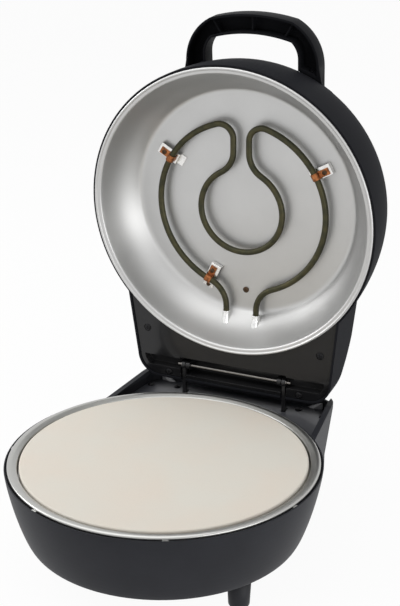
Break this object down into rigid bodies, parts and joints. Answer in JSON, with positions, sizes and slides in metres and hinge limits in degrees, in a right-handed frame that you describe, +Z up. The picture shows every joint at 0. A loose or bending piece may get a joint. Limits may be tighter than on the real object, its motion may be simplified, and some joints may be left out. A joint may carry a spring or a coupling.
{
  "type": "electric pizza maker",
  "caption": "Round countertop pizza maker with a lift-off baking stone, and a domed lid with a heating element that swings up on a floating rear hinge.",
  "frame": {"origin": "centre of the overall box, on the table under the feet, with the lid open", "axes": "+Z up, +X to the right seen from the front, +Y to the rear hinge"},
  "size_m": [0.3406, 0.4289, 0.5523],
  "materials": {
    "housing_plastic": "satin charcoal moulding",
    "deck_plastic": "glossy grey moulding",
    "lid_plastic": "satin charcoal moulding",
    "panel_plastic": "glossy dark moulding",
    "foot_plastic": "black moulding",
    "ring_steel": "spun and brushed",
    "reflector": "satin sheet",
    "stone": "cream, unglazed",
    "sheath": "oxidised olive brown",
    "clamp": "copper brown strip",
    "zinc": "zinc plated",
    "hinge_steel": "bright drawn rod",
    "arm_steel": "black",
    "dark_screw": "blackened",
    "ceramic": "white",
    "thermostat": "brown case",
    "lens": "clear red"
  },
  "bodies": {
    "base": {"base_housing": "housing_plastic", "tray_ring": "ring_steel", "lower_reflector": "reflector", "lower_element": "sheath", "lower_element_clips": "zinc", "lower_ferrules": "ceramic", "base_thermostat": "thermostat", "rim_clips": "zinc", "rear_deck": "deck_plastic", "deck_screws": "dark_screw", "pivot_pins": "hinge_steel", "terminal_block": "ceramic", "cord_bush": "foot_plastic", "foot_front_left": "foot_plastic", "foot_front_right": "foot_plastic", "foot_rear": "foot_plastic", "foot_screws": "zinc"},
    "stone": {"baking_stone": "stone"},
    "arms": {"hinge_arm_left": "arm_steel", "hinge_arm_right": "arm_steel"},
    "lid": {"hinge_rod": "hinge_steel", "rod_clips": "zinc", "lid_shell": "lid_plastic", "lid_frame": "panel_plastic", "reflector_dish": "reflector", "upper_element": "sheath", "upper_ferrules": "ceramic", "element_brackets": "zinc", "element_clamps": "clamp", "bracket_screws": "zinc", "lid_thermostat": "thermostat", "thermostat_screw": "zinc", "panel_screws": "dark_screw", "handle": "lid_plastic", "handle_screws": "zinc", "pilot_lenses": "lens"}
  },
  "joints": [
    {"name": "stone_lift", "type": "slide", "parent": "base", "child": "stone", "axis": [0, 0, 1], "range_m": [0, 0.014]},
    {"name": "arm_swing", "type": "hinge", "parent": "base", "child": "arms", "pos_m": [0, 0.11363, 0.097], "axis": [1, 0, 0], "range_deg": [-19.11, 0]},
    {"name": "lid_tilt", "type": "hinge", "parent": "arms", "child": "lid", "pos_m": [0, 0.1388, 0.13922], "axis": [1, 0, 0], "range_deg": [0, 104.6]}
  ],
  "couplings": [
    {"joint": "arm_swing", "follows": "lid_tilt", "ratio": -0.1826}
  ]
}
